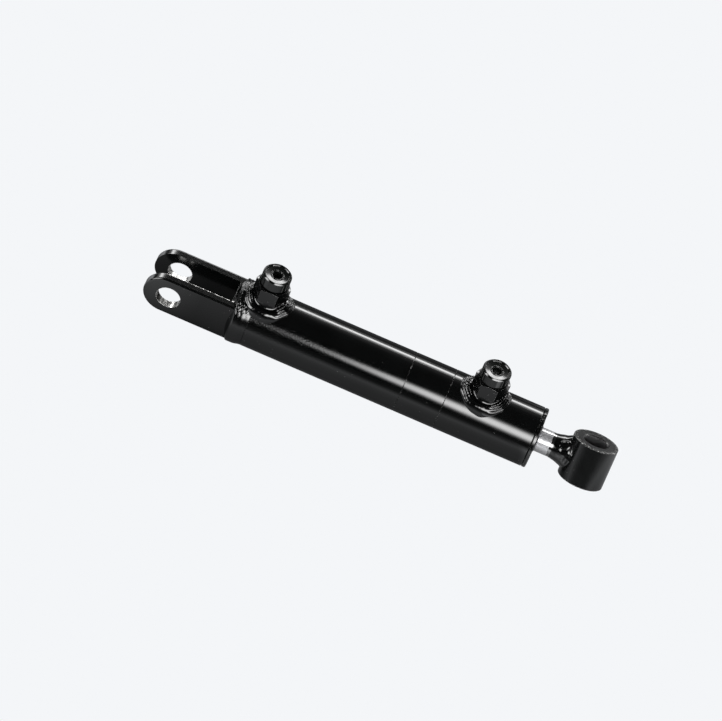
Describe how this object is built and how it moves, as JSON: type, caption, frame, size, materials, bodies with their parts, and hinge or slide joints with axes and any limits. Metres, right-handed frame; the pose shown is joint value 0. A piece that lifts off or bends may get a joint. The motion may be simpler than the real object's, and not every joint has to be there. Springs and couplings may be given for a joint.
{
  "type": "hydraulic cylinder",
  "caption": "Welded double-acting hydraulic cylinder: slotted clevis, plugged side ports, screwed gland and a chromed rod with a cross-tube eye, drawn retracted.",
  "frame": {"origin": "centre of the clevis pin bore, midway between the ears", "axes": "+X along the barrel from the clevis to the rod eye, +Y along the clevis pin, +Z the way the ports point"},
  "size_m": [0.4998, 0.0668, 0.1011],
  "materials": {
    "gloss_black_paint": "gloss black enamel over steel, light orange peel, bare in the clevis pin bores",
    "plug_black_finish": "black oxide and paint on a turned steel plug",
    "eye_charcoal_paint": "semi-gloss charcoal paint, saw-cut end faces rough and matte",
    "hard_chrome": "ground and hard-chromed, painted black beyond the masking line near the eye",
    "piston_iron": "turned ductile iron",
    "plated_steel": "zinc plated steel",
    "nitrile_rubber": "moulded nitrile rubber",
    "polyurethane": "moulded polyurethane, dark grey",
    "bearing_plastic": "filled acetal and PTFE"
  },
  "bodies": {
    "barrel": {"barrel_tube": "gloss_black_paint", "clevis_yoke": "gloss_black_paint", "base_cap": "gloss_black_paint", "base_weld": "gloss_black_paint", "base_port_boss": "gloss_black_paint", "base_port_weld": "gloss_black_paint", "base_port_plug": "plug_black_finish", "base_port_seal": "nitrile_rubber", "rod_port_boss": "gloss_black_paint", "rod_port_weld": "gloss_black_paint", "rod_port_plug": "plug_black_finish", "rod_port_seal": "nitrile_rubber", "gland_head": "gloss_black_paint", "gland_o_ring": "nitrile_rubber", "gland_backup_ring": "bearing_plastic", "rod_guide_ring": "bearing_plastic", "rod_u_cup": "polyurethane", "rod_wiper": "polyurethane"},
    "piston_rings": {"piston_seal": "bearing_plastic", "piston_seal_energiser": "nitrile_rubber", "piston_wear_ring": "bearing_plastic"},
    "rod": {"piston_rod": "hard_chrome", "piston": "piston_iron", "piston_inner_o_ring": "nitrile_rubber", "lock_nut": "plated_steel", "rod_eye": "eye_charcoal_paint", "rod_eye_weld": "gloss_black_paint"}
  },
  "joints": [
    {"name": "rod_stroke", "type": "slide", "parent": "barrel", "child": "piston_rings", "axis": [1, 0, 0], "range_m": [0, 0.2032]},
    {"name": "rod_turn", "type": "hinge", "parent": "piston_rings", "child": "rod", "pos_m": [0.1102, 0, 0], "axis": [1, 0, 0], "continuous": true}
  ]
}
